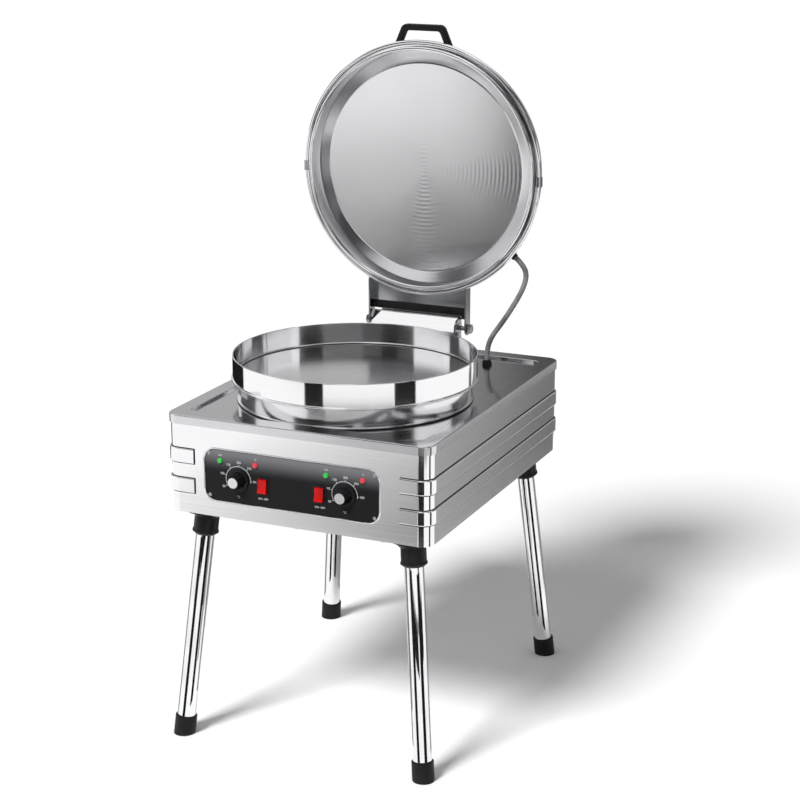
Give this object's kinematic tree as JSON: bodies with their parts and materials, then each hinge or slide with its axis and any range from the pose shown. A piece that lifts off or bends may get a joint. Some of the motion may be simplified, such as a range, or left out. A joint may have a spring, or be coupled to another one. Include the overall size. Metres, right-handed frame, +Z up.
{
  "type": "double heated round griddle",
  "caption": "Floor-standing round griddle: sheet casing on splayed legs, raised pan with heated plate, hinged heated lid shown open, dials and rocker switches on the front.",
  "frame": {"origin": "on the floor, midway between the feet", "axes": "+Z up, -Y towards the front with the controls, +X to the right seen from the front"},
  "size_m": [0.5762, 0.7484, 1.388],
  "materials": {
    "stainless_sheet": "fine brushed, satin",
    "stainless_polished": "bright, spun",
    "cast_aluminium": "turned on the cooking face",
    "chrome_tube": "polished",
    "black_plastic": "fine grain",
    "black_gloss_plastic": "smooth",
    "black_rubber": "matte",
    "red_plastic": "smooth",
    "green_lens": "clear lens",
    "red_lens": "clear lens",
    "panel_sheet": "printed, satin",
    "plain_steel": "zinc plated",
    "grey_sleeve": "ribbed sleeve",
    "ceramic_wool": "matte fibre"
  },
  "bodies": {
    "base": {"front_wall": "stainless_sheet", "back_wall": "stainless_sheet", "side_wall_left": "stainless_sheet", "side_wall_right": "stainless_sheet", "bottom_plate": "stainless_sheet", "deck": "stainless_sheet", "hinge_base": "stainless_sheet", "hinge_cover": "stainless_sheet", "heat_shield": "stainless_sheet", "pan_band": "stainless_polished", "pan_skirt": "stainless_polished", "lower_plate": "cast_aluminium", "leg_front_left": "chrome_tube", "leg_front_right": "chrome_tube", "leg_rear_left": "chrome_tube", "leg_rear_right": "chrome_tube", "socket_front_left": "black_plastic", "socket_front_right": "black_plastic", "socket_rear_left": "black_plastic", "socket_rear_right": "black_plastic", "deck_gland": "black_plastic", "mains_gland": "black_plastic", "switches": "black_plastic", "terminal_block": "black_plastic", "foot_front_left": "black_rubber", "foot_front_right": "black_rubber", "foot_rear_left": "black_rubber", "foot_rear_right": "black_rubber", "lamps_green": "green_lens", "lamps_red": "red_lens", "control_panel": "panel_sheet", "floor_screws": "plain_steel", "panel_screws": "plain_steel", "hinge_fasteners": "plain_steel", "hinge_shaft": "plain_steel", "lower_heater": "plain_steel", "thermostats": "plain_steel", "power_hose": "grey_sleeve", "lower_insulation": "ceramic_wool"},
    "lid": {"lid_band": "stainless_polished", "lid_cover": "stainless_polished", "lid_plate": "cast_aluminium", "lid_heater": "plain_steel", "lid_insulation": "ceramic_wool", "lid_posts": "plain_steel", "seam_clips": "stainless_sheet", "lid_handle": "black_plastic", "yoke_web": "stainless_sheet", "yoke_arm_left": "stainless_sheet", "yoke_arm_right": "stainless_sheet", "lid_fasteners": "plain_steel", "lid_gland": "black_plastic"},
    "knob_left": {"knob_left": "black_gloss_plastic", "knob_cap_left": "stainless_polished", "knob_shaft_left": "plain_steel"},
    "knob_right": {"knob_right": "black_gloss_plastic", "knob_cap_right": "stainless_polished", "knob_shaft_right": "plain_steel"},
    "rocker_left": {"rocker_left": "red_plastic"},
    "rocker_right": {"rocker_right": "red_plastic"}
  },
  "joints": [
    {"name": "lid_hinge", "type": "hinge", "parent": "base", "child": "lid", "pos_m": [0, 0.258, 0.75045], "axis": [1, 0, 0], "range_deg": [0, 90], "deforming": ["power_hose"]},
    {"name": "knob_left_turn", "type": "hinge", "parent": "base", "child": "knob_left", "pos_m": [-0.124, -0.35, 0.5635], "axis": [0, 1, 0], "range_deg": [0, 270]},
    {"name": "knob_right_turn", "type": "hinge", "parent": "base", "child": "knob_right", "pos_m": [0.1045, -0.35, 0.5635], "axis": [0, 1, 0], "range_deg": [0, 270]},
    {"name": "rocker_left_tip", "type": "hinge", "parent": "base", "child": "rocker_left", "pos_m": [-0.07, -0.35, 0.557], "axis": [1, 0, 0], "range_deg": [0, 16]},
    {"name": "rocker_right_tip", "type": "hinge", "parent": "base", "child": "rocker_right", "pos_m": [0.052, -0.35, 0.557], "axis": [1, 0, 0], "range_deg": [0, 16]}
  ]
}
